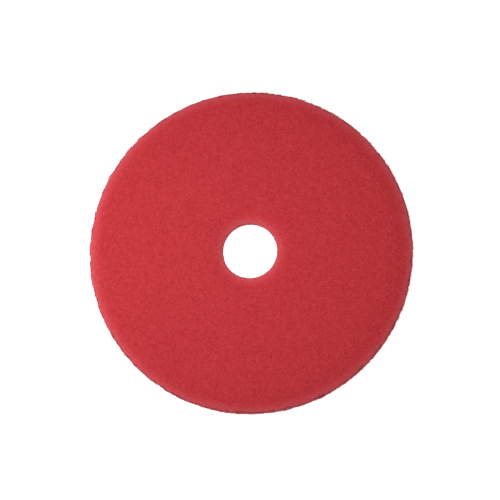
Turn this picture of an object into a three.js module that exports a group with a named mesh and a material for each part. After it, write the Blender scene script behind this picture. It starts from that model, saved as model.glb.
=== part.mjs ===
// A round nonwoven floor pad, the disc that a rotary floor machine spins on the floor.
// The pad is a lofty mat of crimped fibre: a thin web is lapped back and forth into a stack, the
// laps are bonded with resin, both faces are sprayed with binder, fine abrasive and red pigment,
// and a die cuts the disc and its centre hole through the whole stack.
// Millimetres, +Z up. The pad lies flat, and the origin is the centre of its underside.
import * as THREE from "three";

const PAD_DIAMETER = 508; // the standard 20 inch pad
const HOLE_DIAMETER = 86; // clears the centre lock of a pad driver
const PAD_THICKNESS = 25.4; // 1 inch
const LAP_COUNT = 8; // laps of web in the thickness
const BOND_LINE = 0.3; // open bond line between two laps
const DIE_EDGE_RADIUS = 2.4; // the die's squeeze leaves the edges of both faces round
const EDGE_STEPS = 4; // facets in a rounded edge
const ROUND_STEPS = 72; // facets around the pad

const OUTER_RADIUS = PAD_DIAMETER / 2;
const HOLE_RADIUS = HOLE_DIAMETER / 2;
const LAP_THICKNESS = (PAD_THICKNESS - BOND_LINE * (LAP_COUNT - 1)) / LAP_COUNT;

const COATED_WEB = new THREE.MeshStandardMaterial({
  name: "sprayed face web",
  color: "#c43a40",
  roughness: 0.95,
  metalness: 0,
});
const CORE_WEB = new THREE.MeshStandardMaterial({
  name: "bonded core web",
  color: "#b3343a",
  roughness: 0.95,
  metalness: 0,
});

// Points of a quarter circle about (x, y), from one angle in degrees to another.
function quarterArc(x, y, fromDegrees, toDegrees) {
  const points = [];
  for (let step = 0; step <= EDGE_STEPS; step++) {
    const degrees = THREE.MathUtils.lerp(fromDegrees, toDegrees, step / EDGE_STEPS);
    const angle = THREE.MathUtils.degToRad(degrees);
    points.push(
      new THREE.Vector2(
        x + DIE_EDGE_RADIUS * Math.cos(angle),
        y + DIE_EDGE_RADIUS * Math.sin(angle),
      ),
    );
  }
  return points;
}

// The section of a lap inside the stack: a plain strip with both edges cut square by the die.
function squareCutSection() {
  return [
    new THREE.Vector2(HOLE_RADIUS, 0),
    new THREE.Vector2(OUTER_RADIUS, 0),
    new THREE.Vector2(OUTER_RADIUS, LAP_THICKNESS),
    new THREE.Vector2(HOLE_RADIUS, LAP_THICKNESS),
  ];
}

// The section of the uppermost lap: its two upper edges are rounded.
function topFaceSection() {
  const arcY = LAP_THICKNESS - DIE_EDGE_RADIUS;
  return [
    new THREE.Vector2(HOLE_RADIUS, 0),
    new THREE.Vector2(OUTER_RADIUS, 0),
    ...quarterArc(OUTER_RADIUS - DIE_EDGE_RADIUS, arcY, 0, 90),
    ...quarterArc(HOLE_RADIUS + DIE_EDGE_RADIUS, arcY, 90, 180),
  ];
}

// The section of the lowest lap is the uppermost one turned over.
function bottomFaceSection() {
  return topFaceSection()
    .map((point) => new THREE.Vector2(point.x, LAP_THICKNESS - point.y))
    .reverse();
}

// Turns a closed section about the pad's axis into one lap, lying on the XY plane.
function lapMesh(name, section, material) {
  const geometry = new THREE.LatheGeometry([...section, section[0]], ROUND_STEPS);
  geometry.rotateX(Math.PI / 2);
  const mesh = new THREE.Mesh(geometry, material);
  mesh.name = name;
  return mesh;
}

const pad = new THREE.Group();

for (let lap = 0; lap < LAP_COUNT; lap++) {
  let mesh;
  if (lap === 0) {
    mesh = lapMesh("bottom_face_web", bottomFaceSection(), COATED_WEB);
  } else if (lap === LAP_COUNT - 1) {
    mesh = lapMesh("top_face_web", topFaceSection(), COATED_WEB);
  } else {
    mesh = lapMesh(`core_web_${lap}`, squareCutSection(), CORE_WEB);
  }
  mesh.position.z = lap * (LAP_THICKNESS + BOND_LINE);
  pad.add(mesh);
}

export default pad;
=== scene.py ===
"""A round red nonwoven floor buffing pad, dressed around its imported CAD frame.

The file follows the pad as it is made. Thin webs of crimped nylon fibre are laid on each other and
bonded with resin. Both faces of the stack are sprayed with binder, fine abrasive and red pigment.
Last, a die cuts the disc and its centre hole. Metres throughout, +Z up, the pad lying flat.
"""
import math

import bpy
from mathutils import Matrix, Vector


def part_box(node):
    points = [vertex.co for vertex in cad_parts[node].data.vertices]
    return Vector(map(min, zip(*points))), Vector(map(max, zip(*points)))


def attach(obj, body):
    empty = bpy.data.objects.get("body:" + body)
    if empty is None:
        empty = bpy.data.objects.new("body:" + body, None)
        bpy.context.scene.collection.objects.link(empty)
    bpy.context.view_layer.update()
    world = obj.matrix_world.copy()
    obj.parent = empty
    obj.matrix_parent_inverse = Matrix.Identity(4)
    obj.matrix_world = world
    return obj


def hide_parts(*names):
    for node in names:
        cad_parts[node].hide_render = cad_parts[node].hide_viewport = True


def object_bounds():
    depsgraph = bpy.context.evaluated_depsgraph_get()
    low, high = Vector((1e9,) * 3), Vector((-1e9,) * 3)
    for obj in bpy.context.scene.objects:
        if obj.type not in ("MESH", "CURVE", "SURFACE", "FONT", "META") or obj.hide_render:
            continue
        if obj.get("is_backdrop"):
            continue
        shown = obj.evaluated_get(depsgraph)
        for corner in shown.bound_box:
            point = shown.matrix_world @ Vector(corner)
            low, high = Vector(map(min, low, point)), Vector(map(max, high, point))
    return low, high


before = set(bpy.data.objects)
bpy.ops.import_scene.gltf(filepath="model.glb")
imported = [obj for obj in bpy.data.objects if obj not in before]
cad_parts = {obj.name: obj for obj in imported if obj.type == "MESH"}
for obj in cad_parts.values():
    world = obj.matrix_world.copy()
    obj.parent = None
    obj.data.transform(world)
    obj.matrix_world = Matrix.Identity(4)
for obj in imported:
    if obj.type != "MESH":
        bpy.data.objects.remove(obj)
CAD_LOW, CAD_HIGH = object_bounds()

MM = 0.001
OUTER_RADIUS = CAD_HIGH.x
PAD_TOP = CAD_HIGH.z
HOLE_RADIUS = min(
    math.hypot(v.co.x, v.co.y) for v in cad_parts["core_web_1"].data.vertices
)


# ---- Camera ---------------------------------------------------------------------------------
# Looks down on the pad almost square-on from about 2.5 m with a long lens, a little from the right
# and the front, so that a sliver of the rim shows there and of the bore's wall opposite.
CAMERA_DISTANCE = 2.447
CAMERA_TILT = math.radians(9.2)
CAMERA_SIDE = math.radians(-56)
CAMERA_LENS = 112.2
CAMERA_AIM = Vector((0.0011, 0.0004, PAD_TOP))

camera_back = Vector(
    (
        math.sin(CAMERA_TILT) * math.cos(CAMERA_SIDE),
        math.sin(CAMERA_TILT) * math.sin(CAMERA_SIDE),
        math.cos(CAMERA_TILT),
    )
)
camera_right = Vector((0, 1, 0)).cross(camera_back).normalized()
camera_up = camera_back.cross(camera_right)
camera_data = bpy.data.cameras.new("camera")
camera_data.lens = CAMERA_LENS
camera = bpy.data.objects.new("camera", camera_data)
camera.matrix_world = Matrix.Translation(CAMERA_AIM + camera_back * CAMERA_DISTANCE) @ (
    Matrix((camera_right, camera_up, camera_back)).transposed().to_4x4()
)
bpy.context.scene.collection.objects.link(camera)
bpy.context.scene.camera = camera


# ---- The mat of one lap ---------------------------------------------------------------------
# A lap is a mat of random fibre about 3 mm thick. Its solid-looking middle is one closed ring,
# lumpy where it is exposed, and loose fibres lie on and in its surface. All eight laps are made
# by the same two steps: the ring here, and the fibres by the node tree below.
MAT_INSET = 0.25 * MM  # the ring lies this far under the fibres that cover it
ROUND_STEPS = 480
FACE_RING_STEP = 2.2 * MM


def mat_ring(name, outer_radius, low, high, top_shows=False, bottom_shows=False):
    """The closed ring that a lap's section sweeps round the pad's axis, finer where it shows.
    A flat side that the next lap covers is one wide band, and no fibre grows on it."""
    inner, outer = HOLE_RADIUS + MAT_INSET, outer_radius - MAT_INSET
    low += MAT_INSET if bottom_shows else 0
    high -= MAT_INSET if top_shows else 0
    rings = round((outer - inner) / FACE_RING_STEP)
    across = [inner + (outer - inner) * i / rings for i in range(rings + 1)]
    section = [(radius, low) for radius in (across if bottom_shows else [inner, outer])]
    section.append((outer, (low + high) / 2))
    section += [(radius, high) for radius in reversed(across if top_shows else [inner, outer])]
    section.append((inner, (low + high) / 2))

    count = len(section)
    points, faces, shows = [], [], []
    for step in range(ROUND_STEPS):
        angle = 2 * math.pi * step / ROUND_STEPS
        points += [(r * math.cos(angle), r * math.sin(angle), z) for r, z in section]
        here, ahead = step * count, (step + 1) % ROUND_STEPS * count
        for i in range(count):
            j = (i + 1) % count
            faces.append((here + i, ahead + i, ahead + j, here + j))
            shows.append(abs(section[j][0] - section[i][0]) < (outer - inner) / 2)
    mesh = bpy.data.meshes.new(name)
    mesh.from_pydata(points, [], faces)
    mesh.attributes.new("shows", "BOOLEAN", "FACE").data.foreach_set("value", shows)
    return bpy.data.objects.new(name, mesh)


def add(tree, kind, inputs=None, **settings):
    """Adds a node. inputs maps a socket's name or number to a value or to the socket feeding it."""
    made = tree.nodes.new(kind)
    for name, value in settings.items():
        setattr(made, name, value)
    for name, value in (inputs or {}).items():
        if isinstance(value, bpy.types.NodeSocket):
            tree.links.new(value, made.inputs[name])
        else:
            made.inputs[name].default_value = value
    return made


fibre_tree = bpy.data.node_groups.new("loose fibres of a bonded web", "GeometryNodeTree")
for socket_name, socket_type in (
    ("Geometry", "NodeSocketGeometry"),
    ("Outer Radius", "NodeSocketFloat"),
    ("Hole Radius", "NodeSocketFloat"),
    ("Low", "NodeSocketFloat"),
    ("High", "NodeSocketFloat"),
    ("Face Fibres", "NodeSocketFloat"),
    ("Edge Fibres", "NodeSocketFloat"),
    ("Fibre Length", "NodeSocketFloat"),
    ("Fibre Thickness", "NodeSocketFloat"),
    ("Bend", "NodeSocketFloat"),
    ("Fray", "NodeSocketFloat"),
    ("Lump Height", "NodeSocketFloat"),
    ("Seed", "NodeSocketInt"),
    ("Mat Material", "NodeSocketMaterial"),
    ("Fibre Material", "NodeSocketMaterial"),
):
    fibre_tree.interface.new_socket(socket_name, in_out="INPUT", socket_type=socket_type)
fibre_tree.interface.new_socket("Geometry", in_out="OUTPUT", socket_type="NodeSocketGeometry")

BEND_PITCH = 14 * MM  # a fibre's long bends; its crimps come from the noise's second octave
CRIMPS_PER_BEND = 3.3
LUMP_PITCH = 9 * MM
TUFT_PITCH = 7 * MM
TUFT_REACH = 9.5 * MM
RIM_FRINGE = 1 * MM  # even fibres spring out of the rim by this
BORE_FRINGE = 1.1 * MM  # and shrink back from the bore by this
STRAY_SHARE_AT_BORE = -0.4  # in the bore, tufts and strays stand inwards, and less far
EDGE_BAND = 6 * MM  # nearer the rim or the bore, more and more fibres run along the cut
SWERVE_KEPT = 0.4  # how much of its random heading such a fibre keeps
FIBRE_POINTS = 7
FIBRE_SIDES = 3
DIVE = 0.03  # radians that a fibre may dip or climb
BEND_UPWARDS = 0.06  # a fibre bends almost only in the plane of the face
STRAY_DRAW, STOUT_DRAW = 3.7, 7.3  # a fibre's number times one of these gives it a draw of its own
STOUT_LEAST, STOUT_SPAN = 0.6, 0.7
SQUEEZE_WIDTH = 42 * MM  # the die presses the stack together over this width beside each cut
SQUEEZE_DEPTH = 5.8 * MM

given = add(fibre_tree, "NodeGroupInput").outputs


def maths(operation, a, b=0.0, c=0.0):
    """One arithmetic step on numbers or sockets in the fibre tree."""
    return add(fibre_tree, "ShaderNodeMath", {0: a, 1: b, 2: c}, operation=operation).outputs[0]


def radial_parts():
    """The radius, x, y and z of the point that the tree is working on."""
    place = add(fibre_tree, "GeometryNodeInputPosition").outputs[0]
    split = add(fibre_tree, "ShaderNodeSeparateXYZ", {0: place}).outputs
    x, y, z = split[0], split[1], split[2]
    radius = maths("SQRT", maths("ADD", maths("POWER", x, 2.0), maths("POWER", y, 2.0)))
    return radius, x, y, z


def tuft_rise():
    """How far the cut edge stands out of its circle here. All laps bulge in the same places."""
    place = add(fibre_tree, "GeometryNodeInputPosition").outputs[0]
    tufts = add(
        fibre_tree, "ShaderNodeTexNoise", {"Vector": place, "Scale": 1 / TUFT_PITCH, "Detail": 2.0}
    ).outputs["Fac"]
    return maths("MULTIPLY", maths("SUBTRACT", tufts, 0.5), TUFT_REACH)


def die_squeeze(geometry):
    """Presses a geometry towards the pad's middle height beside the rim and the bore."""
    radius, x, y, z = radial_parts()
    to_rim = maths("SUBTRACT", given["Outer Radius"], radius)
    to_bore = maths("SUBTRACT", radius, given["Hole Radius"])
    near = maths("DIVIDE", maths("MINIMUM", to_rim, to_bore), SQUEEZE_WIDTH)
    far = maths("MINIMUM", maths("MAXIMUM", near, 0.0), 1.0)
    depth = maths("MULTIPLY", maths("POWER", maths("SUBTRACT", 1.0, far), 3.0), SQUEEZE_DEPTH)
    height = maths("DIVIDE", maths("SUBTRACT", z, PAD_TOP / 2), PAD_TOP / 2)
    down = maths("MULTIPLY", maths("MULTIPLY", height, depth), -1.0)
    offset = add(fibre_tree, "ShaderNodeCombineXYZ", {2: down}).outputs[0]
    moved = add(fibre_tree, "GeometryNodeSetPosition", {"Geometry": geometry, "Offset": offset})
    return moved.outputs[0]


# The mat: its surface rises and sinks in soft lumps, which are larger round the rim.
normal = add(fibre_tree, "GeometryNodeInputNormal").outputs[0]
radius, x, y, z = radial_parts()
to_rim = maths("SUBTRACT", given["Outer Radius"], radius)
edge_gap = maths("MINIMUM", to_rim, maths("SUBTRACT", radius, given["Hole Radius"]))
lumps = add(
    fibre_tree,
    "ShaderNodeTexNoise",
    {"Scale": 1 / LUMP_PITCH, "Detail": 1.0, "W": given["Seed"]},
    noise_dimensions="4D",
).outputs["Fac"]
lump = maths("MULTIPLY", maths("SUBTRACT", lumps, 0.5), given["Lump Height"])
lump = maths("ADD", lump, maths("MULTIPLY", maths("LESS_THAN", to_rim, 1 * MM), tuft_rise()))
lump_offset = add(
    fibre_tree, "ShaderNodeVectorMath", {0: normal, "Scale": lump}, operation="SCALE"
).outputs[0]
lumpy_mat = add(
    fibre_tree, "GeometryNodeSetPosition", {"Geometry": given["Geometry"], "Offset": lump_offset}
).outputs[0]

# Where fibres grow: on the exposed face, and more and more densely towards the cut edges.
edge_share = maths("MAXIMUM", maths("SUBTRACT", 1.0, maths("DIVIDE", edge_gap, EDGE_BAND)), 0.0)
density = add(
    fibre_tree,
    "ShaderNodeMix",
    {"Factor": edge_share, 2: given["Face Fibres"], 3: given["Edge Fibres"]},
).outputs[0]
shows = add(
    fibre_tree, "GeometryNodeInputNamedAttribute", {"Name": "shows"}, data_type="BOOLEAN"
).outputs[0]
roots = add(
    fibre_tree,
    "GeometryNodeDistributePointsOnFaces",
    {"Mesh": lumpy_mat, "Selection": shows, "Density": density, "Seed": given["Seed"]},
).outputs["Points"]

# One straight fibre, laid on every root in a random direction, or along the cut beside an edge.
half_fibre = maths("MULTIPLY", given["Fibre Length"], 0.5)
fibre_end = add(fibre_tree, "ShaderNodeCombineXYZ", {0: half_fibre}).outputs[0]
fibre_start = add(
    fibre_tree, "ShaderNodeVectorMath", {0: fibre_end, "Scale": -1.0}, operation="SCALE"
).outputs[0]
straight = add(
    fibre_tree, "GeometryNodeCurvePrimitiveLine", {"Start": fibre_start, "End": fibre_end}
).outputs[0]
straight = add(
    fibre_tree, "GeometryNodeResampleCurve", {"Curve": straight, "Count": FIBRE_POINTS}
).outputs[0]
any_way = add(
    fibre_tree,
    "FunctionNodeRandomValue",
    {2: -math.pi / 2, 3: math.pi / 2, "Seed": given["Seed"]},
    data_type="FLOAT",
).outputs[1]
along_cut = maths("ADD", maths("ARCTAN2", y, x), math.pi / 2)
turned = add(
    fibre_tree, "FunctionNodeRandomValue", {2: 0.0, 3: 1.0, "Seed": 3}, data_type="FLOAT"
).outputs[1]
at_edge = maths("LESS_THAN", turned, edge_share)
swerve_lost = maths("MULTIPLY", at_edge, 1 - SWERVE_KEPT)
swerve = maths("MULTIPLY", any_way, maths("SUBTRACT", 1.0, swerve_lost))
heading = maths("ADD", swerve, maths("MULTIPLY", along_cut, at_edge))
dive = add(
    fibre_tree, "FunctionNodeRandomValue", {2: -DIVE, 3: DIVE, "Seed": 5}, data_type="FLOAT"
).outputs[1]
turn = add(fibre_tree, "ShaderNodeCombineXYZ", {1: dive, 2: heading}).outputs[0]
length_share = add(
    fibre_tree, "FunctionNodeRandomValue", {2: 0.6, 3: 1.25, "Seed": 9}, data_type="FLOAT"
).outputs[1]
laid = add(
    fibre_tree,
    "GeometryNodeInstanceOnPoints",
    {"Points": roots, "Instance": straight, "Rotation": turn, "Scale": length_share},
).outputs[0]
own_number = add(
    fibre_tree, "FunctionNodeRandomValue", {2: 0.0, 3: 60.0, "Seed": 13}, data_type="FLOAT"
).outputs[1]
numbered = add(
    fibre_tree,
    "GeometryNodeStoreNamedAttribute",
    {"Geometry": laid, "Name": "fibre_number", "Value": own_number},
    domain="INSTANCE",
    data_type="FLOAT",
).outputs[0]
fibres = add(fibre_tree, "GeometryNodeRealizeInstances", {0: numbered}).outputs[0]

# Each fibre bends and crimps in its own way.
number = add(
    fibre_tree, "GeometryNodeInputNamedAttribute", {"Name": "fibre_number"}, data_type="FLOAT"
).outputs[0]
bends = add(
    fibre_tree,
    "ShaderNodeTexNoise",
    {
        "W": number,
        "Scale": 1 / BEND_PITCH,
        "Detail": 1.0,
        "Roughness": 0.4,
        "Lacunarity": CRIMPS_PER_BEND,
    },
    noise_dimensions="4D",
).outputs["Color"]
bend_size = add(
    fibre_tree,
    "ShaderNodeCombineXYZ",
    {0: given["Bend"], 1: given["Bend"], 2: maths("MULTIPLY", given["Bend"], BEND_UPWARDS)},
).outputs[0]
centred = add(
    fibre_tree, "ShaderNodeVectorMath", {0: bends, 1: (0.5, 0.5, 0.5)}, operation="SUBTRACT"
).outputs[0]
bend_offset = add(
    fibre_tree, "ShaderNodeVectorMath", {0: centred, 1: bend_size}, operation="MULTIPLY"
).outputs[0]
fibres = add(
    fibre_tree, "GeometryNodeSetPosition", {"Geometry": fibres, "Offset": bend_offset}
).outputs[0]

# The die and the neighbouring laps stop a fibre: past its limit it runs along the cut instead.
# The cut isn't quite even, and a few fibres stand well out of it.
radius, x, y, z = radial_parts()
stray = maths("POWER", maths("FRACT", maths("MULTIPLY", number, STRAY_DRAW)), 3.0)
reach = maths("ADD", maths("MULTIPLY", stray, given["Fray"]), tuft_rise())
most = maths("ADD", maths("ADD", given["Outer Radius"], RIM_FRINGE), reach)
stand_in = maths("MULTIPLY_ADD", reach, STRAY_SHARE_AT_BORE, BORE_FRINGE)
least = maths("ADD", given["Hole Radius"], stand_in)
kept_radius = maths("MAXIMUM", maths("MINIMUM", radius, most), least)
shrink = maths("DIVIDE", kept_radius, radius)
kept_z = maths("MAXIMUM", maths("MINIMUM", z, given["High"]), given["Low"])
kept_place = add(
    fibre_tree,
    "ShaderNodeCombineXYZ",
    {0: maths("MULTIPLY", x, shrink), 1: maths("MULTIPLY", y, shrink), 2: kept_z},
).outputs[0]
fibres = add(
    fibre_tree, "GeometryNodeSetPosition", {"Geometry": fibres, "Position": kept_place}
).outputs[0]
fibres = die_squeeze(fibres)

# A fibre gets its body: a closed tube of three sides, thicker or thinner fibre by fibre.
strand = add(
    fibre_tree,
    "GeometryNodeCurvePrimitiveCircle",
    {"Resolution": FIBRE_SIDES, "Radius": maths("MULTIPLY", given["Fibre Thickness"], 0.5)},
).outputs[0]
stout_draw = maths("FRACT", maths("MULTIPLY", number, STOUT_DRAW))
stoutness = maths("MULTIPLY_ADD", stout_draw, STOUT_SPAN, STOUT_LEAST)
tubes = add(
    fibre_tree,
    "GeometryNodeCurveToMesh",
    {"Curve": fibres, "Profile Curve": strand, "Scale": stoutness, "Fill Caps": True},
).outputs[0]
tubes = add(
    fibre_tree, "GeometryNodeSetMaterial", {0: tubes, "Material": given["Fibre Material"]}
).outputs[0]
mat = add(
    fibre_tree,
    "GeometryNodeSetMaterial",
    {0: die_squeeze(lumpy_mat), "Material": given["Mat Material"]},
).outputs[0]
lap = add(fibre_tree, "GeometryNodeJoinGeometry")
fibre_tree.links.new(mat, lap.inputs[0])
fibre_tree.links.new(tubes, lap.inputs[0])
smooth = add(fibre_tree, "GeometryNodeSetShadeSmooth", {0: lap.outputs[0]}).outputs[0]
whole = add(fibre_tree, "GeometryNodeRealizeInstances", {0: smooth}).outputs[0]
add(fibre_tree, "NodeGroupOutput", {0: whole})


def grow_fibres(ring, **sizes):
    """Runs the fibre tree on a lap's ring and returns the result as one plain mesh object."""
    bpy.context.scene.collection.objects.link(ring)
    grower = ring.modifiers.new("fibres", "NODES")
    grower.node_group = fibre_tree
    for name, value in sizes.items():
        socket = fibre_tree.interface.items_tree[name.replace("_", " ").title()]
        grower[socket.identifier] = value
    graph = bpy.context.evaluated_depsgraph_get()
    grown = bpy.data.meshes.new_from_object(ring.evaluated_get(graph), depsgraph=graph)
    ring.modifiers.remove(grower)
    ring.data = grown
    grown.name = ring.name
    return ring


def linear(hex_colour):
    """An sRGB hex colour as linear RGBA."""
    channels = [int(hex_colour[i : i + 2], 16) / 255 for i in (1, 3, 5)]
    return [c / 12.92 if c <= 0.04045 else ((c + 0.055) / 1.055) ** 2.4 for c in channels] + [1.0]


CLUMP_PITCH = 7 * MM
CLUMP_SHARE = 0.7  # of the coat's variation; the rest goes from fibre to fibre
COAT_DRAW = 5.3
GRAIN_PITCH = 2.6 * MM
SPECK_GAIN, SPECK_OFFSET = 0.65, -0.275
ROUGHNESS_SPAN = 0.3
STRAND_PITCH = 0.9 * MM  # the mat's finer strands, drawn coarser than the real ones
STRAND_RUN = 9 * MM
STRAND_RELIEF = 0.3 * MM
STRAND_SHARPNESS = 10.0
# Painted shade: the coat is darker between the mat's fine strands and lighter along them.
STRAND_PAINTED_LIGHT, SHADE_BETWEEN = 0.18, 0.88
CRIMP_PITCH = 5 * MM
CRIMP_REACH = 5 * MM
PAINTED_EDGE_LIGHT_WIDTH = 26 * MM  # painted light: the coat lightens this near a cut
PAINTED_EDGE_LIGHT_GAIN = 0.18
CUT_WIDTH = 18 * MM  # nearer, paler: bare cut fibre ends, and painted light in the fringe
CUT_PALENESS_AND_GLOW = 0.5


def fibre_material(name, thick, thin, bare_and_glow, roughness):
    """Resin-coated fibre. The red coat is thicker or thinner in clumps and from fibre to fibre.
    Fine crossing strands lie in it, lighter, with painted shade between them, and paler fibre
    shows in specks. Beside the cuts the coat is painted lighter, and at the cuts it pales, partly
    for bare fibre ends and partly as painted light caught in the edge's fringe."""
    material = bpy.data.materials.new(name)
    material.use_nodes = True
    tree = material.node_tree
    shader = tree.nodes["Principled BSDF"]

    def step(operation, a, b=0.0, c=0.0):
        return add(tree, "ShaderNodeMath", {0: a, 1: b, 2: c}, operation=operation).outputs[0]

    place = add(tree, "ShaderNodeTexCoord").outputs["Object"]
    clumps = add(
        tree, "ShaderNodeTexNoise", {"Vector": place, "Scale": 1 / CLUMP_PITCH, "Detail": 3.0}
    ).outputs["Fac"]
    own = add(tree, "ShaderNodeAttribute", attribute_name="fibre_number").outputs["Fac"]
    share = step("FRACT", step("MULTIPLY", own, COAT_DRAW))
    thinness = step(
        "ADD", step("MULTIPLY", clumps, CLUMP_SHARE), step("MULTIPLY", share, 1 - CLUMP_SHARE)
    )
    coat = add(tree, "ShaderNodeMix", {0: thinness}, data_type="RGBA")
    coat.inputs[6].default_value = linear(thick)
    coat.inputs[7].default_value = linear(thin)

    crimps = add(
        tree, "ShaderNodeTexNoise", {"Vector": place, "Scale": 1 / CRIMP_PITCH, "Detail": 1.0}
    ).outputs["Color"]
    crimped = add(
        tree,
        "ShaderNodeVectorMath",
        {0: crimps, 1: (CRIMP_REACH, CRIMP_REACH, 0), 2: place},
        operation="MULTIPLY_ADD",
    ).outputs[0]
    tangle = 0.0
    for degrees in (8, 52, 97, 141):
        along = add(
            tree,
            "ShaderNodeMapping",
            {
                "Vector": crimped,
                "Rotation": (0, 0, math.radians(degrees)),
                "Scale": (STRAND_RUN, STRAND_PITCH, STRAND_PITCH),
            },
            vector_type="TEXTURE",
        ).outputs[0]
        wave = add(tree, "ShaderNodeTexNoise", {"Vector": along, "Scale": 1.0, "Detail": 0.0})
        off_line = step("ABSOLUTE", step("SUBTRACT", wave.outputs["Fac"], 0.5))
        beside = step("MINIMUM", step("MULTIPLY", off_line, STRAND_SHARPNESS), 1.0)
        tangle = step("MAXIMUM", tangle, step("SUBTRACT", 1.0, beside))

    grain = add(
        tree, "ShaderNodeTexNoise", {"Vector": place, "Scale": 1 / GRAIN_PITCH, "Detail": 1.0}
    ).outputs["Fac"]
    flat = add(
        tree, "ShaderNodeVectorMath", {0: place, 1: (1, 1, 0)}, operation="MULTIPLY"
    ).outputs[0]
    radius = add(tree, "ShaderNodeVectorMath", {0: flat}, operation="LENGTH").outputs["Value"]
    to_rim = step("SUBTRACT", OUTER_RADIUS, radius)
    to_cut = step("MINIMUM", to_rim, step("SUBTRACT", radius, HOLE_RADIUS))
    # Painted light: the coat is lightened beside each cut, where the edge's fringe catches light.
    painted_edge_light = step("SUBTRACT", 1.0, step("MINIMUM", step("DIVIDE", to_cut, PAINTED_EDGE_LIGHT_WIDTH), 1.0))
    painted_light_and_shade = step("MULTIPLY_ADD", step("POWER", painted_edge_light, 2.0), PAINTED_EDGE_LIGHT_GAIN, SHADE_BETWEEN)
    # Painted light and shade: the coat is lighter along the fine strands and darker between them.
    painted_light_and_shade = step("MULTIPLY_ADD", tangle, STRAND_PAINTED_LIGHT, painted_light_and_shade)
    coat = add(
        tree, "ShaderNodeVectorMath", {0: coat.outputs[2], "Scale": painted_light_and_shade}, operation="SCALE"
    ).outputs[0]

    # Partly painted light: near a cut the colour pales, for bare fibre ends and for light that the
    # edge's fringe catches.
    cut = step("SUBTRACT", 1.0, step("MINIMUM", step("DIVIDE", to_cut, CUT_WIDTH), 1.0))
    specks = step("MULTIPLY_ADD", grain, SPECK_GAIN, SPECK_OFFSET)
    paler = step("MULTIPLY_ADD", cut, step("MULTIPLY", cut, CUT_PALENESS_AND_GLOW), specks)
    paler = add(tree, "ShaderNodeClamp", {0: paler}).outputs[0]
    shown = add(tree, "ShaderNodeMix", {0: paler, 6: coat}, data_type="RGBA")
    shown.inputs[7].default_value = linear(bare_and_glow)
    tree.links.new(shown.outputs[2], shader.inputs["Base Color"])

    worn = step("MULTIPLY_ADD", grain, ROUGHNESS_SPAN, roughness - ROUGHNESS_SPAN / 2)
    tree.links.new(worn, shader.inputs["Roughness"])
    bump = add(
        tree, "ShaderNodeBump", {"Height": tangle, "Distance": STRAND_RELIEF, "Strength": 0.3}
    )
    tree.links.new(bump.outputs[0], shader.inputs["Normal"])
    shader.inputs["Specular IOR Level"].default_value = 0.2
    return material


# ---- Core laps ------------------------------------------------------------------------------
# Six inner laps of lofted nylon web, held by the bonding resin alone. Little of the face spray
# reaches them. Only their cut edges show, at the rim and in the centre hole.
CORE_FIBRE = fibre_material("bonded nylon core fibre", "#b0242c", "#ba2a32", "#cc6670", 0.7)
CORE_MAT = fibre_material("bonded nylon core web", "#ac222a", "#b62830", "#c8606a", 0.8)

CORE_RADIUS = OUTER_RADIUS - 0.4 * MM  # the core is cut a little under the faces

for lap_number in range(1, 7):
    node = f"core_web_{lap_number}"
    low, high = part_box(node)
    piece = mat_ring(f"fibre_{node}", CORE_RADIUS, low.z, high.z)
    grow_fibres(
        piece,
        outer_radius=CORE_RADIUS,
        hole_radius=HOLE_RADIUS,
        low=low.z - 0.5 * MM,
        high=high.z + 0.5 * MM,
        face_fibres=0.0,
        edge_fibres=300000.0,
        fibre_length=13 * MM,
        fibre_thickness=0.5 * MM,
        bend=7 * MM,
        fray=1.6 * MM,
        lump_height=0.8 * MM,
        seed=lap_number,
        mat_material=CORE_MAT,
        fibre_material=CORE_FIBRE,
    )
    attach(piece, "root")
    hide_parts(node)


# ---- Face laps ------------------------------------------------------------------------------
# The outermost lap on each side takes the spray of binder, abrasive and pigment. Either face can
# go to the floor, so both are the same open mat of crimped, coated fibre.
# The sprayed face fibre is painted a little lighter than the web under it, to offset its own shade.
FACE_FIBRE = fibre_material("sprayed nylon face fibre", "#c82d34", "#d03239", "#de727c", 0.65)
FACE_MAT = fibre_material("sprayed nylon face web", "#be2a31", "#c62f36", "#d66a74", 0.8)

for node, top_shows in (("bottom_face_web", False), ("top_face_web", True)):
    low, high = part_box(node)
    piece = mat_ring(f"fibre_{node}", OUTER_RADIUS, low.z, high.z, top_shows, not top_shows)
    grow_fibres(
        piece,
        outer_radius=OUTER_RADIUS,
        hole_radius=HOLE_RADIUS,
        low=low.z + 0.3 * MM,
        high=high.z - 0.1 * MM,
        face_fibres=82000.0,
        edge_fibres=200000.0,
        fibre_length=16 * MM,
        fibre_thickness=0.28 * MM,
        bend=8 * MM,
        fray=2.6 * MM,
        lump_height=0.3 * MM,
        seed=20 + top_shows,
        mat_material=FACE_MAT,
        fibre_material=FACE_FIBRE,
    )
    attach(piece, "root")
    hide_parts(node)


# ---- Studio ---------------------------------------------------------------------------------
# A white sweep that glows enough to lose the pad's shadow, an even white surround, and two soft
# lamps, overhead and on the left, near enough that the light falls off across the pad. Sweep and
# surround throw less light onto the pad than they show.
bpy.context.scene.view_settings.view_transform = "Standard"

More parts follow.
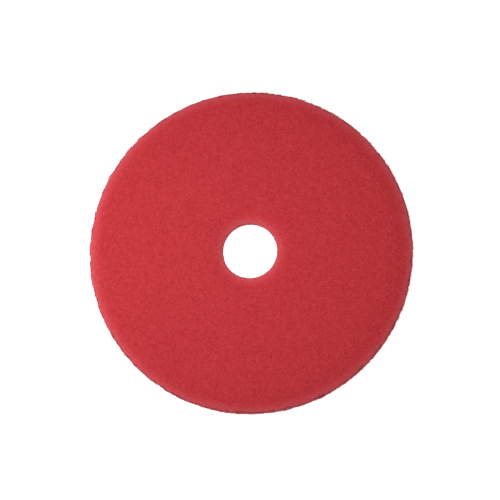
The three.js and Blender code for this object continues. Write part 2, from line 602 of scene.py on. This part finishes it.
FLOOR_HALF = 30.0
floor_mesh = bpy.data.meshes.new("floor")
floor_mesh.from_pydata(
    [(x * FLOOR_HALF, y * FLOOR_HALF, 0) for x, y in ((-1, -1), (1, -1), (1, 1), (-1, 1))],
    [],
    [(0, 1, 2, 3)],
)
floor = bpy.data.objects.new("floor", floor_mesh)
bpy.context.scene.collection.objects.link(floor)
floor_paint = bpy.data.materials.new("white studio floor")
floor_paint.use_nodes = True
floor_shader = floor_paint.node_tree.nodes["Principled BSDF"]
floor_shader.inputs["Base Color"].default_value = linear("#e8e8e8")
floor_shader.inputs["Roughness"].default_value = 1.0
floor_shader.inputs["Emission Color"].default_value = (1, 1, 1, 1)
floor_glow = add(
    floor_paint.node_tree,
    "ShaderNodeMapRange",
    {"Value": add(floor_paint.node_tree, "ShaderNodeLightPath").outputs["Is Camera Ray"]},
)
floor_glow.inputs["To Min"].default_value = 0.35
floor_glow.inputs["To Max"].default_value = 0.9
floor_paint.node_tree.links.new(floor_glow.outputs[0], floor_shader.inputs["Emission Strength"])
floor.data.materials.append(floor_paint)
floor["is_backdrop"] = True

world = bpy.data.worlds.new("white surround")
bpy.context.scene.world = world
world.use_nodes = True
surround = world.node_tree.nodes["Background"]
surround.inputs["Color"].default_value = (1, 1, 1, 1)
surround_strength = add(
    world.node_tree,
    "ShaderNodeMapRange",
    {"Value": add(world.node_tree, "ShaderNodeLightPath").outputs["Is Camera Ray"]},
)
surround_strength.inputs["To Min"].default_value = 0.42
surround_strength.inputs["To Max"].default_value = 1.0
world.node_tree.links.new(surround_strength.outputs[0], surround.inputs["Strength"])

for lamp_name, place, size, energy in (
    ("soft lamp on the left", Vector((-0.8, 0.06, 0.45)), 0.4, 3.7),
    ("soft box overhead", Vector((0, 0, 0.6)), 0.5, 1.6),
):
    lamp_data = bpy.data.lights.new(lamp_name, "AREA")
    lamp_data.shape = "DISK"
    lamp_data.size = size
    lamp_data.energy = energy
    lamp = bpy.data.objects.new(lamp_name, lamp_data)
    lamp.matrix_world = Matrix.Translation(place) @ (
        (-place).to_track_quat("-Z", "Y").to_matrix().to_4x4()
    )
    lamp.visible_camera = False
    bpy.context.scene.collection.objects.link(lamp)

low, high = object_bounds()
